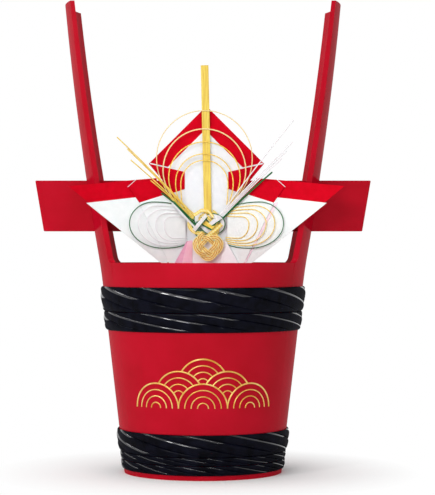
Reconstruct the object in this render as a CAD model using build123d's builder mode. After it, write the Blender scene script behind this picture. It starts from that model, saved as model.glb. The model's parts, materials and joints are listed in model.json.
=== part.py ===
from build123d import *
import math
import os

# A horned sake cask: a tapered coopered cask with two tall horn staves, twisted hoops, a winged crossbar,
# a bung, and a paper and cord ornament tied to the crossbar. Millimetres, +Z up, front towards -Y.
# The origin is on the floor, under the middle of the cask.

# Cask wall
base_radius = 73.0
rim_height = 194.0
side_slope = 0.115
stave_wall = 6.5
rim_wall = 4.6
horn_stave_angle = 60.0
plain_staves_per_side = 6

# Horns: a short flare off the line of the wall, then a long curve out to the tip
horn_half_width = 43.0
horn_rise = 237.5
horn_flare = 0.7
horn_spread = 31.0
horn_tip_wall = 3.6
flare_start_drop = 18.0
flare_end_rise = 6.0
shoulder_fillet = 4.8

# Heads, each a board with a tongue round its edge that sits in a groove of the staves
bottom_head_height = 14.0
top_head_drop = 22.0
head_thickness = 9.0
tongue_lip = 2.0
groove_depth = 2.4
groove_clearance = 0.1
head_edge_gap = 0.2

# Bung and its hole, in the back half of the top head
bung_hole_radius = 13.0
bung_inset = 40.3
bung_clearance = 0.3
bung_lip = 3.0
bung_head_height = 11.0
bung_plug_length = 16.0
bung_taper = 1.2
bung_round = 3.0

# Bamboo dowels between the staves
dowel_diameter = 3.0
dowel_length = 14.0
dowel_clearance = 0.05
dowel_heights = (66.0, 112.0)

# Hoops: each one's width, its swell, its number of ridges and the angle that a ridge turns as it climbs
hoop_seat_clearance = 0.05
hoop_gap = 0.1
hoop_edge = 0.9
groove_share = 0.55
hoop_levels = 10
foot_hoops_rise = 4.4
upper_hoops_drop = 21.8
foot_hoop_width = 8.8
foot_hoop_swell = 1.9
lower_thin_width = 7.6
lower_thin_swell = 1.7
thin_ridge_count = 20
thin_hoop_turn = 32.0
lower_wide_width = 20.3
lower_wide_swell = 3.0
lower_ridge_count = 12
lower_wide_turn = 68.0
upper_narrow_width = 17.3
upper_narrow_swell = 2.6
narrow_ridge_count = 11
upper_wide_width = 22.7
upper_wide_swell = 3.1
wide_ridge_count = 10
upper_hoop_turn = 66.0

# Crossbar, which reaches past the horns at both ends, further at its top edge
crossbar_rise = 29.0
crossbar_height = 47.0
crossbar_thickness = 12.0
crossbar_wing = 48.6
crossbar_slant = 8.0
crossbar_edge = 0.8
mortise_clearance = 0.15

# Ornament papers, with heights from the middle of the crossbar and distances from the ornament's middle
ornament_shift = 3.2
paper_thickness = 0.5
paper_gap = 0.1
diamond_half = 53.5
diamond_height = 39.0
kite_half = 40.0
kite_height = 29.5
panel_half_width = 20.0
panel_top = 33.0
papers_bottom = -58.0
panel_ear = (22.0, -3.0)
flap_drop = 1.5
flap_root = 15.5
flap_tip = (31.0, 12.0)
strip_width = 7.1
strip_thickness = 1.0
strip_top = 130.0
strip_bottom = -18.0
strip_shift = 1.5
strip_tilt = 1.25

# Wing papers, each point as its distance out along the wing and its height from the middle of the crossbar
wing_horn_gap = 0.8
wing_tip = (119.5, 16.0)
wing_top = (51.5, 23.0)
wing_crease = (30.0, 25.0)
wing_foot = (18.0, papers_bottom)
outer_border = (102.0, 1.2)
outer_border_root = (30.0, 9.5)
inner_corner = (59.7, 16.3)
inner_notch = (49.5, 1.9)
inner_top = (35.0, 21.8)
inner_dip = (23.0, 9.7)
inner_root = (0.5, -5.0)
inner_foot = (15.0, papers_bottom)
root_foot = (0.5, papers_bottom)

# Tail papers, each point as its distance out along the sheet and its height from the middle of the crossbar
tail_paper_inset = 10.0
tail_paper_angle = 20.0
tail_paper_gap = 0.2
tail_paper_outline = ((3.5, -32.0), (8.9, -32.8), (23.7, papers_bottom), (3.5, papers_bottom))

# Ornament tie, a flat band round the crossbar and through slots in the papers
tie_width = 3.0
tie_thickness = 0.8
tie_clearance = 0.15

# Paper cords, with the points of the loops and tails given in the wing's plane
cord_radius = 0.55
cord_count = 5
cord_gap = 0.5
loop_start = (-1.0, -3.0)
loop_crest = (33.9, 3.0)
loop_crest_step = (4.6, 3.3)
loop_reach = (59.4, -17.0)
loop_reach_step = 8.95
loop_trough = (24.8, -39.2)
loop_trough_step = (3.0, 2.3)
loop_end = (-1.0, -35.5)
tail_gap = 0.9
tail_lift = 0.3
tail_bow = 0.8
tail_root = (-1.0, -3.0)
left_tail_tips = ((72.8, 60.8), (62.4, 50.5), (58.9, 40.6), (38.3, 22.5), (26.9, 8.0))
right_tail_tips = ((70.1, 76.3), (69.3, 56.5), (63.0, 48.5), (58.2, 41.9), (48.5, 29.8))
arch_shift = -1.9
arch_foot = 20.6
arch_foot_height = 1.0
arch_foot_reach = 1.7
arch_bulges = (17.2, 12.8, 9.2, 4.4, 1.2)
arch_tops = (88.0, 71.0, 59.0, 48.0, 42.0)

# Interlaced knots: a wide one with the cord ends in it, and a smaller gold one below it and in front
knot_half_width = 15.4
knot_half_height = 12.6
knot_drop = 17.0
gold_knot_shift = 1.4
gold_knot_half_width = 12.0
gold_knot_half_height = 12.0
gold_knot_drop = 37.0
knot_band_width = 4.4
knot_band_thickness = 1.1
knot_wave = 1.2
knot_bulge = 0.5
knot_opening = 20.0
knot_steps = 90
knot_gap = 0.6
knot_nudge = 0.01


def outer_radius(height):
    return base_radius + side_slope * height


def inner_radius(height):
    return outer_radius(height) - stave_wall


# Worked out from the sizes above
horn_top = rim_height + horn_rise
top_head_top = rim_height - top_head_drop
flare_start = rim_height - flare_start_drop
flare_end = rim_height + flare_end_rise
flare_end_radius = outer_radius(flare_end) + horn_flare
horn_tip_radius = flare_end_radius + horn_spread
horn_lean = horn_spread / (horn_top - flare_end)
crossbar_bottom = rim_height + crossbar_rise
crossbar_middle = crossbar_bottom + crossbar_height / 2
crossbar_front = crossbar_thickness / 2
crossbar_half = flare_end_radius + horn_lean * (crossbar_middle - flare_end) + crossbar_wing
plain_stave_angle = (180.0 - horn_stave_angle) / plain_staves_per_side
first_stave_angles = {"back": horn_stave_angle / 2, "front": 180 + horn_stave_angle / 2}
bung_head_radius = bung_hole_radius + bung_lip
bung_offset = inner_radius(top_head_top) - bung_inset
layer_step = paper_thickness + paper_gap
cord_pitch = 2 * cord_radius + cord_gap
tail_pitch = 2 * cord_radius + tail_gap


def radial_plane(angle):
    """The upright plane through the cask's axis at this polar angle, with its X axis outwards."""
    turn = math.radians(angle)
    out = (math.cos(turn), math.sin(turn), 0)
    normal = (math.sin(turn), -math.cos(turn), 0)
    return Plane(origin=(0, 0, 0), x_dir=out, z_dir=normal)


def joint_plane(angle, height):
    """Where a dowel crosses the joint between two staves: its normal runs along the dowel."""
    turn = math.radians(angle)
    reach = outer_radius(height) - stave_wall / 2
    spot = (reach * math.cos(turn), reach * math.sin(turn), height)
    return Plane(origin=spot, z_dir=(-math.sin(turn), math.cos(turn), 0))


def save(part, name):
    part.label = name
    export_step(part, f"parts/{name}.step")


def cut_head_grooves():
    """Cuts the two grooves for the heads out of a stave's section."""
    for bottom in (bottom_head_height, top_head_top - head_thickness):
        middle = bottom + head_thickness / 2
        width = head_thickness - 2 * tongue_lip + 2 * groove_clearance
        with Locations((inner_radius(middle), middle)):
            Rectangle(2 * groove_depth, width, mode=Mode.SUBTRACT)


def cut_dowel_holes(first_angle, last_angle):
    for angle in (first_angle, last_angle):
        for height in dowel_heights:
            with Locations(joint_plane(angle, height)):
                Cylinder(
                    dowel_diameter / 2 + dowel_clearance,
                    dowel_length + 2 * dowel_clearance,
                    mode=Mode.SUBTRACT,
                )


os.makedirs("parts", exist_ok=True)

# Plain staves, thinned to a bevelled rim above the top head
for side, start in first_stave_angles.items():
    for number in range(plain_staves_per_side):
        angle = start + number * plain_stave_angle
        with BuildPart() as stave:
            with BuildSketch(radial_plane(angle)):
                with BuildLine():
                    Polyline(
                        (inner_radius(0), 0),
                        (outer_radius(0), 0),
                        (outer_radius(rim_height), rim_height),
                        (outer_radius(rim_height) - rim_wall, rim_height),
                        (inner_radius(top_head_top), top_head_top),
                        close=True,
                    )
                make_face()
                cut_head_grooves()
            revolve(axis=Axis.Z, revolution_arc=plain_stave_angle)
            cut_dowel_holes(angle, angle + plain_stave_angle)
        save(stave.part, f"{side}_stave_{number + 1}")

# Horn staves: the same wall up to the rim, then a flare and a long curve up to the tip
for side, middle_angle in (("right", 0.0), ("left", 180.0)):
    first_angle = middle_angle - horn_stave_angle / 2
    with BuildPart() as horn_stave:
        with BuildSketch(radial_plane(first_angle)):
            with BuildLine():
                wall = Line((outer_radius(0), 0), (outer_radius(flare_start), flare_start))
                flare = TangentArc(wall @ 1, (flare_end_radius, flare_end), tangent=wall % 1)
                TangentArc(flare @ 1, (horn_tip_radius, horn_top), tangent=flare % 1)
                Line((horn_tip_radius, horn_top), (horn_tip_radius - horn_tip_wall, horn_top))
                TangentArc(
                    (flare_end_radius - rim_wall, flare_end),
                    (horn_tip_radius - horn_tip_wall, horn_top),
                    tangent=flare % 1,
                )
                Polyline(
                    (flare_end_radius - rim_wall, flare_end),
                    (inner_radius(top_head_top), top_head_top),
                    (inner_radius(0), 0),
                    (outer_radius(0), 0),
                )
            make_face()
            cut_head_grooves()
        revolve(axis=Axis.Z, revolution_arc=horn_stave_angle)
        outward = radial_plane(middle_angle).x_dir
        across = Vector(0, 0, 1).cross(outward)
        with BuildSketch(Plane(origin=(0, 0, 0), x_dir=across, z_dir=outward)):
            with Locations((0, rim_height / 2)):
                Rectangle(2 * outer_radius(rim_height), rim_height)
            with Locations((0, horn_top / 2)):
                Rectangle(2 * horn_half_width, horn_top)
            shoulders = vertices().group_by(Axis.Y)[1]
            fillet(shoulders.sort_by(SortBy.DISTANCE)[:2], shoulder_fillet)
        extrude(amount=horn_tip_radius, mode=Mode.INTERSECT)
        with Locations((outward.X * horn_tip_radius, 0, crossbar_middle)):
            Box(
                horn_tip_radius,
                crossbar_thickness + 2 * mortise_clearance,
                crossbar_height + 2 * mortise_clearance,
                mode=Mode.SUBTRACT,
            )
        cut_dowel_holes(first_angle, first_angle + horn_stave_angle)
    save(horn_stave.part, f"horn_stave_{side}")

# Bamboo dowels, two in each joint between staves
with BuildPart() as dowels:
    for start in first_stave_angles.values():
        for number in range(plain_staves_per_side + 1):
            for height in dowel_heights:
                with Locations(joint_plane(start + number * plain_stave_angle, height)):
                    Cylinder(dowel_diameter / 2, dowel_length)
save(dowels.part, "stave_dowels")


def head_outline(bottom):
    """Half the section of a head: sloping edges that follow the wall, and the tongue between them."""
    top = bottom + head_thickness
    low = bottom + tongue_lip
    high = top - tongue_lip
    tongue_radius = inner_radius((low + high) / 2) + groove_depth - groove_clearance
    edge = [inner_radius(height) - head_edge_gap for height in (bottom, low, high, top)]
    Polyline(
        (0, bottom),
        (edge[0], bottom),
        (edge[1], low),
        (tongue_radius, low),
        (tongue_radius, high),
        (edge[2], high),
        (edge[3], top),
        (0, top),
        close=True,
    )


# Bottom head, a plain board
with BuildPart() as bottom_head:
    with BuildSketch(Plane.XZ):
        with BuildLine():
            head_outline(bottom_head_height)
        make_face()
    revolve(axis=Axis.Z)
save(bottom_head.part, "bottom_head")

# Top head, with the bung hole in its back half
with BuildPart() as top_head:
    with BuildSketch(Plane.XZ):
        with BuildLine():
            head_outline(top_head_top - head_thickness)
        make_face()
    revolve(axis=Axis.Z)
    with Locations((0, bung_offset, top_head_top)):
        Hole(bung_hole_radius)
save(top_head.part, "top_head")

# Bung: a turned head that rests on the board, and a tapered plug in the hole
bung_plane = Plane(origin=(0, bung_offset, top_head_top), x_dir=(1, 0, 0), z_dir=(0, -1, 0))
plug_radius = bung_hole_radius - bung_clearance
with BuildPart() as bung:
    with BuildSketch(bung_plane):
        with BuildLine():
            Polyline(
                (0, -bung_plug_length),
                (plug_radius - bung_taper, -bung_plug_length),
                (plug_radius, 0),
                (bung_head_radius, 0),
                (bung_head_radius, bung_head_height - bung_round),
            )
            TangentArc(
                (bung_head_radius, bung_head_height - bung_round),
                (bung_head_radius - bung_round, bung_head_height),
                tangent=(0, 1),
            )
            Line((bung_head_radius - bung_round, bung_head_height), (0, bung_head_height))
            Line((0, bung_head_height), (0, -bung_plug_length))
        make_face()
    revolve(axis=Axis((0, bung_offset, 0), (0, 0, 1)))
save(bung.part, "bung")


def twisted_hoop(name, low, width, swell, ridges, ridge_turn):
    """A hoop of twisted strands: lobed sections that turn as they climb, cut to sit on the staves."""
    high = low + width - hoop_gap
    with BuildPart() as hoop:
        for level in range(hoop_levels + 1):
            climb = math.pi * level / hoop_levels
            share = (1 - math.cos(climb)) / 2
            height = low + (high - low) * share
            crown = hoop_edge + (swell - hoop_edge) * math.sin(climb)
            ridge_radius = outer_radius(height) + crown
            groove_radius = outer_radius(height) + crown * groove_share
            first = math.radians(ridge_turn * (1 - share))
            half = math.pi / ridges
            with BuildSketch(Plane.XY.offset(height)):
                with BuildLine():
                    for ridge in range(ridges):
                        turns = [first + (2 * ridge + step) * half for step in (0, 1, 2)]
                        reach = [groove_radius, ridge_radius, groove_radius]
                        spots = [(r * math.cos(t), r * math.sin(t)) for r, t in zip(reach, turns)]
                        ThreePointArc(*spots)
                make_face()
        loft()
        with BuildSketch(Plane.XZ):
            with BuildLine():
                Polyline(
                    (0, 0),
                    (outer_radius(0) + hoop_seat_clearance, 0),
                    (outer_radius(rim_height) + hoop_seat_clearance, rim_height),
                    (0, rim_height),
                    close=True,
                )
            make_face()
        revolve(axis=Axis.Z, mode=Mode.SUBTRACT)
    save(hoop.part, name)


# Hoops, stacked in a pair below the rim and in a set of three at the foot
low = foot_hoops_rise
twisted_hoop("foot_hoop_thin", low, foot_hoop_width, foot_hoop_swell, thin_ridge_count, thin_hoop_turn)
low = low + foot_hoop_width
twisted_hoop("lower_hoop_thin", low, lower_thin_width, lower_thin_swell, thin_ridge_count, thin_hoop_turn)
low = low + lower_thin_width
twisted_hoop("lower_hoop_wide", low, lower_wide_width, lower_wide_swell, lower_ridge_count, lower_wide_turn)
low = rim_height - upper_hoops_drop - upper_wide_width
twisted_hoop("upper_hoop_wide", low, upper_wide_width, upper_wide_swell, wide_ridge_count, upper_hoop_turn)
low = low - upper_narrow_width
twisted_hoop(
    "upper_hoop_narrow", low, upper_narrow_width, upper_narrow_swell, narrow_ridge_count, upper_hoop_turn
)

# Crossbar: a winged board with slanted ends
with BuildPart() as crossbar:
    with BuildSketch(Plane.XZ):
        with BuildLine():
            Polyline(
                (-crossbar_half + crossbar_slant / 2, crossbar_bottom),
                (crossbar_half - crossbar_slant / 2, crossbar_bottom),
                (crossbar_half + crossbar_slant / 2, crossbar_bottom + crossbar_height),
                (-crossbar_half - crossbar_slant / 2, crossbar_bottom + crossbar_height),
                close=True,
            )
        make_face()
    extrude(amount=crossbar_thickness / 2, both=True)
    fillet(edges(), crossbar_edge)
save(crossbar.part, "crossbar")


def front_plane(layer):
    """An upright plane in front of the crossbar, level with its middle. Layers count forwards."""
    depth = crossbar_front + paper_gap + layer * layer_step
    return Plane(
        origin=(ornament_shift, -depth, crossbar_middle),
        x_dir=(1, 0, 0),
        z_dir=(0, -1, 0),
    )


def cut_tie_slots():
    """Cuts the two slots that the tie passes through."""
    reach = crossbar_height / 2 + tie_clearance + tie_thickness / 2
    for height in (-reach, reach):
        with Locations((0, height)):
            Rectangle(
                tie_width + 2 * tie_clearance,
                tie_thickness + 2 * tie_clearance,
                mode=Mode.SUBTRACT,
            )


# Red square sheet on its corner, against the crossbar
with BuildPart() as diamond_paper:
    with BuildSketch(front_plane(0)):
        with Locations((0, diamond_height)):
            Rectangle(diamond_half * math.sqrt(2), diamond_half * math.sqrt(2), rotation=45)
        cut_tie_slots()
    extrude(amount=paper_thickness)
save(diamond_paper.part, "diamond_paper")

# White square sheet in front of it, set lower so that a red border shows
with BuildPart() as kite_paper:
    with BuildSketch(front_plane(1)):
        with Locations((0, kite_height)):
            Rectangle(kite_half * math.sqrt(2), kite_half * math.sqrt(2), rotation=45)
        cut_tie_slots()
    extrude(amount=paper_thickness)
save(kite_paper.part, "kite_paper")

# White panel down the middle, with ears that show below the flaps
panel_side = (
    (panel_half_width, panel_top),
    (panel_half_width, flap_root - paper_gap),
    (flap_tip[0], flap_tip[1] - paper_gap),
    panel_ear,
    (panel_half_width, panel_ear[1]),
    (panel_half_width, papers_bottom),
)
with BuildPart() as centre_panel:
    with BuildSketch(front_plane(2)):
        with BuildLine():
            right_side = Polyline(*panel_side)
            mirror(right_side, about=Plane.YZ)
            Line((-panel_half_width, panel_top), (panel_half_width, panel_top))
            Line((-panel_half_width, papers_bottom), (panel_half_width, papers_bottom))
        make_face()
        cut_tie_slots()
    extrude(amount=paper_thickness)
save(centre_panel.part, "centre_panel")

# Red flaps beside the panel, as high as the widest part of the diamond
flap_outline = (
    (panel_half_width + paper_gap, panel_top - flap_drop),
    (diamond_half, diamond_height),
    flap_tip,
    (panel_half_width + paper_gap, flap_root),
)
for name, side in (("left", -1), ("right", 1)):
    with BuildPart() as flap_paper:
        with BuildSketch(front_plane(2)):
            with BuildLine():
                Polyline(*[(side * across, height) for across, height in flap_outline], close=True)
            make_face()
        extrude(amount=paper_thickness)
    save(flap_paper.part, f"flap_paper_{name}")

# Tie round the crossbar and the papers that lie against it
tie_front = crossbar_front + paper_gap + 3 * layer_step
tie_back = crossbar_front + tie_clearance
tie_inner_height = crossbar_height + 2 * tie_clearance
tie_inner_depth = tie_front + tie_back
tie_shift = (tie_back - tie_front) / 2
with BuildPart() as ornament_tie:
    with BuildSketch(Plane.YZ.offset(ornament_shift)):
        with Locations((tie_shift, crossbar_middle)):
            Rectangle(tie_inner_depth + 2 * tie_thickness, tie_inner_height + 2 * tie_thickness)
            Rectangle(tie_inner_depth, tie_inner_height, mode=Mode.SUBTRACT)
    extrude(amount=tie_width / 2, both=True)
save(ornament_tie.part, "ornament_tie")

# Gold strip that stands up behind the knot, in front of the tie
strip_back = tie_front + tie_thickness + paper_gap
strip_base = Plane(
    origin=(ornament_shift + strip_shift, -strip_back, crossbar_middle + strip_bottom),
    x_dir=(1, 0, 0),
    z_dir=(0, -1, 0),
)
strip_length = strip_top - strip_bottom
with BuildPart() as noshi_strip:
    with BuildSketch(strip_base.rotated((0, -strip_tilt, 0))):
        with Locations((0, strip_length / 2)):
            Rectangle(strip_width, strip_length)
    extrude(amount=strip_thickness)
save(noshi_strip.part, "noshi_strip")

# Wings: flat sheets that swing forwards from the panel's edges and pass just in front of the horns
wing_root_depth = crossbar_front + paper_gap + 3 * layer_step
horn_inside = flare_end_radius - rim_wall + horn_lean * (crossbar_bottom - flare_end)
horn_edge = math.sqrt(horn_inside**2 - horn_half_width**2)
wing_angle = math.atan2(
    horn_half_width + wing_horn_gap - wing_root_depth,
    horn_edge - ornament_shift - panel_half_width,
)


def wing_plane(side, offset):
    """The upright plane of one wing, its X axis out along the wing, this far forwards of the wing's back."""
    out = Vector(side * math.cos(wing_angle), -math.sin(wing_angle), 0)
    forwards = Vector(-side * math.sin(wing_angle), -math.cos(wing_angle), 0)
    root = Vector(ornament_shift + side * panel_half_width, -wing_root_depth, crossbar_middle)
    return Plane(origin=root + forwards * offset, x_dir=out, z_dir=forwards * side)


wing_sheets = {
    "outer_wing_lining": (wing_tip, wing_top, wing_crease, wing_foot),
    "outer_wing_paper": (outer_border, outer_border_root, wing_foot),
    "inner_wing_lining": (
        inner_top,
        wing_top,
        inner_corner,
        inner_notch,
        inner_foot,
        root_foot,
        inner_root,
        inner_dip,
    ),
    "inner_wing_paper": (inner_dip, inner_notch, inner_foot, root_foot, inner_root),
}
for layer, (name, outline) in enumerate(wing_sheets.items()):
    for side_name, side in (("left", -1), ("right", 1)):
        with BuildPart() as sheet:
            with BuildSketch(wing_plane(side, layer * layer_step)):
                with BuildLine():
                    Polyline(*outline, close=True)
                make_face()
            extrude(amount=side * paper_thickness)
        save(sheet.part, f"{name}_{side_name}")

# Tail papers, which hang in front of the wings and lean out beside the knots
tail_paper_depth = wing_root_depth + (len(wing_sheets) - 1) * layer_step + tail_paper_gap
for side_name, side in (("left", -1), ("right", 1)):
    lean = math.radians(tail_paper_angle)
    tail_paper_plane = Plane(
        origin=(ornament_shift + side * tail_paper_inset, -tail_paper_depth, crossbar_middle),
        x_dir=(side * math.cos(lean), -math.sin(lean), 0),
        z_dir=(-math.sin(lean), -side * math.cos(lean), 0),
    )
    with BuildPart() as tail_paper:
        with BuildSketch(tail_paper_plane):
            with BuildLine():
                Polyline(*tail_paper_outline, close=True)
            make_face()
        extrude(amount=side * paper_thickness)
    save(tail_paper.part, f"tail_paper_{side_name}")

# Cords lie in front of the sheets: loops first, then the straight tails across them
loop_offset = len(wing_sheets) * layer_step + cord_radius
tail_offset = loop_offset + 2 * cord_radius + tail_lift


def bow(start, crest, rising):
    """An arc from start up to a level crest, or back down from it."""
    run = abs(crest[0] - start[0])
    drop = crest[1] - start[1]
    radius = (run**2 + drop**2) / (2 * drop)
    swing = math.degrees(math.asin(run / abs(radius)))
    top = 90 if drop > 0 else -90
    turn = swing if drop > 0 else -swing
    if rising:
        CenterArc((crest[0], crest[1] - radius), abs(radius), top + turn, -turn)
    else:
        CenterArc((crest[0], crest[1] - radius), abs(radius), top, turn)


def oval_quarter(middle, across, up, downwards):
    """A quarter of an oval in two tangent arcs, on the outer side of its middle."""
    height = abs(up)
    slant = math.hypot(across, height)
    end_radius = slant / across * (slant - across + height) / 2
    crown_radius = slant / height * (slant + across - height) / 2
    flat = 1 if crown_radius > end_radius else -1
    join = math.degrees(math.atan2(flat * (crown_radius - height), flat * (across - end_radius)))
    end_centre = (middle[0] + across - end_radius, middle[1])
    if downwards:
        crown_centre = (middle[0], middle[1] - height + crown_radius)
        CenterArc(end_centre, end_radius, 0, -join)
        CenterArc(crown_centre, crown_radius, -join, join - 90)
    else:
        crown_centre = (middle[0], middle[1] + height - crown_radius)
        CenterArc(crown_centre, crown_radius, 90, join - 90)
        CenterArc(end_centre, end_radius, join, -join)


# Nested loops, each one a cord out of the knot and back into it
for side_name, side in (("left", -1), ("right", 1)):
    with BuildPart() as loops:
        for number in range(cord_count):
            start = (loop_start[0], loop_start[1] - number * cord_pitch)
            end = (loop_end[0], loop_end[1] + number * cord_pitch)
            reach = loop_reach[0] - number * loop_reach_step
            crest = (
                loop_crest[0] - number * loop_crest_step[0],
                loop_crest[1] - number * loop_crest_step[1],
            )
            trough = (
                loop_trough[0] - number * loop_trough_step[0],
                loop_trough[1] + number * loop_trough_step[1],
            )
            with BuildLine(wing_plane(side, loop_offset)) as path:
                bow(start, crest, True)
                oval_quarter((crest[0], loop_reach[1]), reach - crest[0], crest[1] - loop_reach[1], False)
                oval_quarter((trough[0], loop_reach[1]), reach - trough[0], trough[1] - loop_reach[1], True)
                bow(end, trough, False)
            with BuildSketch(Plane(origin=path.line @ 0, z_dir=path.line % 0)):
                Circle(cord_radius)
            sweep()
    save(loops.part, f"{side_name}_loops")

# Straight tails, gently bowed, that fan out from the knot
tail_sets = (("left_tails", -1, left_tail_tips), ("right_tails", 1, right_tail_tips))
for name, side, tips in tail_sets:
    with BuildPart() as tails:
        for number, tip in enumerate(tips):
            root = (tail_root[0], tail_root[1] - number * tail_pitch)
            with BuildLine(wing_plane(side, tail_offset)) as path:
                SagittaArc(root, tip, tail_bow)
            with BuildSketch(Plane(origin=path.line @ 0, z_dir=path.line % 0)):
                Circle(cord_radius)
            sweep()
    save(tails.part, name)

# Nested gold arches that lean back against the gold strip
arch_top_depth = strip_back + strip_thickness + paper_gap + cord_radius
arch_foot_depth = arch_top_depth + arch_foot_reach
arch_lean = math.degrees(math.atan2(arch_foot_reach, arch_tops[0] - arch_foot_height))
arch_base = Plane(
    origin=(ornament_shift + arch_shift, -arch_foot_depth, crossbar_middle + arch_foot_height),
    x_dir=(1, 0, 0),
    z_dir=(0, -1, 0),
)
with BuildPart() as gold_arches:
    for number in range(cord_count):
        bulge = arch_bulges[number]
        width = arch_foot + (cord_count - 1 - number) * cord_pitch + bulge
        spring = arch_tops[number] - arch_foot_height - width
        leg_radius = (bulge**2 + spring**2) / (2 * bulge)
        leg_turn = math.degrees(math.asin(spring / leg_radius))
        with BuildLine(arch_base.rotated((-arch_lean, 0, 0))) as path:
            CenterArc((leg_radius - width, spring), leg_radius, 180 + leg_turn, -leg_turn)
            CenterArc((0, spring), width, 180, -90)
            CenterArc((0, spring), width, 90, -90)
            CenterArc((width - leg_radius, spring), leg_radius, 0, -leg_turn)
        with BuildSketch(Plane(origin=path.line @ 0, z_dir=path.line % 0)):
            Circle(cord_radius)
        sweep()
save(gold_arches.part, "gold_arches")

# Knots in front of the strip, the gold one in front of the other
knot_depth = knot_gap + 2 * knot_wave + knot_band_thickness
wide_knot_place = (ornament_shift, strip_back + strip_thickness + knot_depth / 2, knot_drop)
gold_knot_place = (ornament_shift + gold_knot_shift, wide_knot_place[1] + knot_depth, gold_knot_drop)


def interlaced_knot(name, place, half_width, half_height):
    """A flat band that goes round three times, over and under itself, with both of its ends at the top."""
    middle = Vector(place[0], -place[1], crossbar_middle - place[2])

    def band_point(turn):
        swell = (1 + knot_bulge * math.cos(4 * turn / 3)) / (1 + knot_bulge)
        across = half_width * swell * math.cos(turn)
        up = half_height * swell * math.sin(turn)
        return middle + Vector(across, -knot_wave * math.sin(8 * turn / 3), up)

    first = 4.5 * math.pi + math.radians(knot_opening)
    last = 10.5 * math.pi - math.radians(knot_opening)
    with BuildPart() as knot:
        for step in range(knot_steps + 1):
            turn = first + (last - first) * step / knot_steps
            along = band_point(turn + knot_nudge) - band_point(turn - knot_nudge)
            sideways = along.cross(Vector(0, 1, 0))
            with BuildSketch(Plane(origin=band_point(turn), x_dir=sideways, z_dir=along)):
                Rectangle(knot_band_width, knot_band_thickness)
        loft(ruled=True)
    save(knot.part, name)


interlaced_knot("awaji_knot", wide_knot_place, knot_half_width, knot_half_height)
interlaced_knot("gold_knot", gold_knot_place, gold_knot_half_width, gold_knot_half_height)
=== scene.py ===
# %% [markdown]
# A horned sake cask in red lacquer, dressed for a wedding or the New Year. The wooden construction comes in as a
# fixed frame, at its real size in metres. Everything below finishes it: lacquer, folded paper and paper cord.

# %% Load the frame
import json
import math

import bpy
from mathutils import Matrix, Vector


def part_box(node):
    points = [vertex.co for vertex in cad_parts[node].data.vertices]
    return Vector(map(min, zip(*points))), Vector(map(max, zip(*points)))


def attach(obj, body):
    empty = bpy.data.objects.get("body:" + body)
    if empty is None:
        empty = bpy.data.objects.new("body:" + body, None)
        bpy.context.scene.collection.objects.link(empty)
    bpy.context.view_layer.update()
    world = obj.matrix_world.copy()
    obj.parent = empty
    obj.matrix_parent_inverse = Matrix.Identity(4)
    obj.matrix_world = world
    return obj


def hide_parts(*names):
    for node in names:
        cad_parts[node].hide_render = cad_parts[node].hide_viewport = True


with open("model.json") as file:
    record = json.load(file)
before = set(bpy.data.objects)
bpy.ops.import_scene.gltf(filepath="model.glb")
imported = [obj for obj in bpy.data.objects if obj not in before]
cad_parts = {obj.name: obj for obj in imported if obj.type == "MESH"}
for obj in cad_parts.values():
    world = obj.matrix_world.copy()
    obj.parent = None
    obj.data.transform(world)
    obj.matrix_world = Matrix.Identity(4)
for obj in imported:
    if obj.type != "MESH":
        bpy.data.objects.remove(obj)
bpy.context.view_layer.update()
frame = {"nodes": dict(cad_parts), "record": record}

nodes = frame["nodes"]
scene = bpy.context.scene
millimetre = 0.001

# %% [markdown]
# The camera comes first, because every later choice is judged through it. The cask was taken from straight ahead
# with a long lens, a little above half its height. A shift, and not a tilt, puts the cask off the middle of the
# picture, so that its upright lines stay upright.

# %% Camera
image_width = 435
image_height = 495
sensor_size = 36.0
focal_pixels = 1780.0
axis_pixel = 203.0
horizon_pixel = 255.0
camera_distance = 1.655
camera_height = 0.201

camera_data = bpy.data.cameras.new("camera")
camera = bpy.data.objects.new("camera", camera_data)
scene.collection.objects.link(camera)
camera.location = (0, -camera_distance, camera_height)
camera.rotation_euler = (math.radians(90), 0, 0)
camera_data.sensor_width = sensor_size
camera_data.lens = sensor_size * focal_pixels / image_height
camera_data.shift_x = (image_width / 2 - axis_pixel) / image_height
camera_data.shift_y = (horizon_pixel - image_height / 2) / image_height
scene.camera = camera
print("lens:", round(camera_data.lens, 1), "mm")

# %% [markdown]
# Colours are written as they look on a screen, in sRGB hex. Blender's shaders want linear light, so one function
# turns a hex value to linear. A second small function adds a node with its settings and links, which keeps each
# material down to a few readable lines. A pattern's scale is the number of its features in a metre, so a third one
# turns a real size in millimetres into that number.

# %% Colour, scale and node helpers
typical_ior = 1.5


def colour(hex_code):
    channels = [int(hex_code[i : i + 2], 16) / 255 for i in (1, 3, 5)]
    linear = [c / 12.92 if c <= 0.04045 else ((c + 0.055) / 1.055) ** 2.4 for c in channels]
    return (*linear, 1.0)


def features_of(size_mm):
    return 1 / (size_mm * millimetre)


def bands_of(size_mm):
    """A wave texture has 20 / (2 pi) bands in a unit already, at a scale of 1."""
    return features_of(size_mm) * 2 * math.pi / 20


def link(tree, node, **links):
    """Links inputs, by name, to a (node, output) each."""
    for name, (source, output) in links.items():
        tree.links.new(source.outputs[output], node.inputs[name.replace("_", " ")])


def add(tree, kind, settings=None, **links):
    """Adds a node. Settings are properties, input values or the stops of a colour ramp."""
    node = tree.nodes.new(kind)
    for name, value in (settings or {}).items():
        if name == "stops":
            for stop, (position, tone) in zip(node.color_ramp.elements, value):
                stop.position, stop.color = position, colour(tone)
        elif name in node.inputs:
            node.inputs[name].default_value = value
        else:
            setattr(node, name, value)
    link(tree, node, **links)
    return node


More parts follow.
